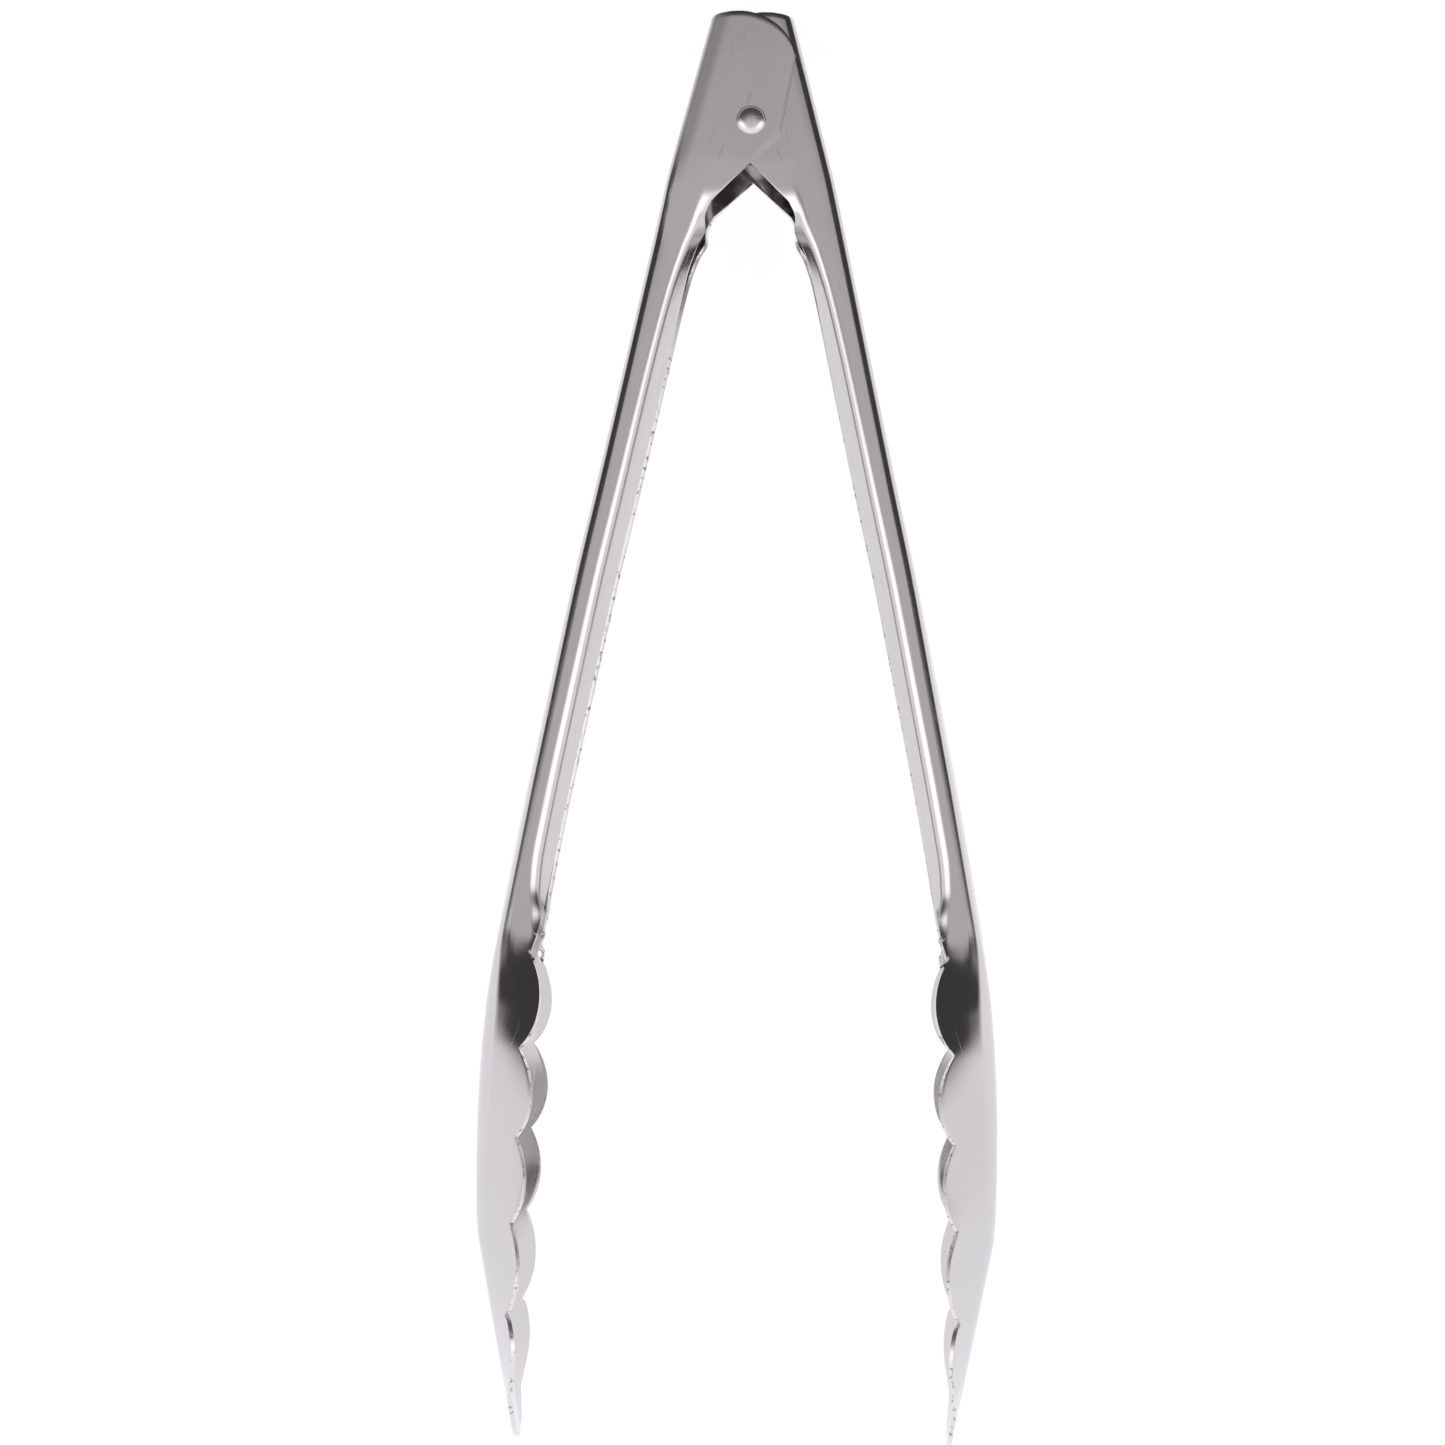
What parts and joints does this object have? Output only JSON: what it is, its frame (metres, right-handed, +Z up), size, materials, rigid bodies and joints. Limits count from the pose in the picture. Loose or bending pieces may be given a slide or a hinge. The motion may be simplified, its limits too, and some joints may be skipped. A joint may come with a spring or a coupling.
{
  "type": "spring-loaded kitchen tongs",
  "caption": "Two pressed stainless arms joined by a rivet and pushed open by a torsion spring, with scalloped scoop ends for gripping food.",
  "frame": {"origin": "centre of the footprint on the table, with the tongs lying flat and open", "axes": "+Y from the scoops towards the rivet head, along the tongs' length; +Z up from the table, close to the rivet's axis; the arm with the inner ears is on the +X side"},
  "size_m": [0.108, 0.298, 0.0372],
  "materials": {
    "pressed_steel": "semi-bright rolled and pressed stainless sheet",
    "rivet_steel": "satin headed rivet",
    "spring_steel": "drawn stainless wire"
  },
  "bodies": {
    "outer_arm_body": {"outer_arm": "pressed_steel", "pivot_rivet": "rivet_steel", "torsion_spring": "spring_steel"},
    "inner_arm_body": {"inner_arm": "pressed_steel"}
  },
  "joints": [
    {"name": "arm_hinge", "type": "hinge", "parent": "outer_arm_body", "child": "inner_arm_body", "pos_m": [0, 0.12555, 0.01244], "axis": [0, -0.0272, -0.9996], "range_deg": [0, 18.3], "stiffness_Nm_per_rad": 1.2, "springref_deg": -18.91, "deforming": ["torsion_spring"]}
  ]
}
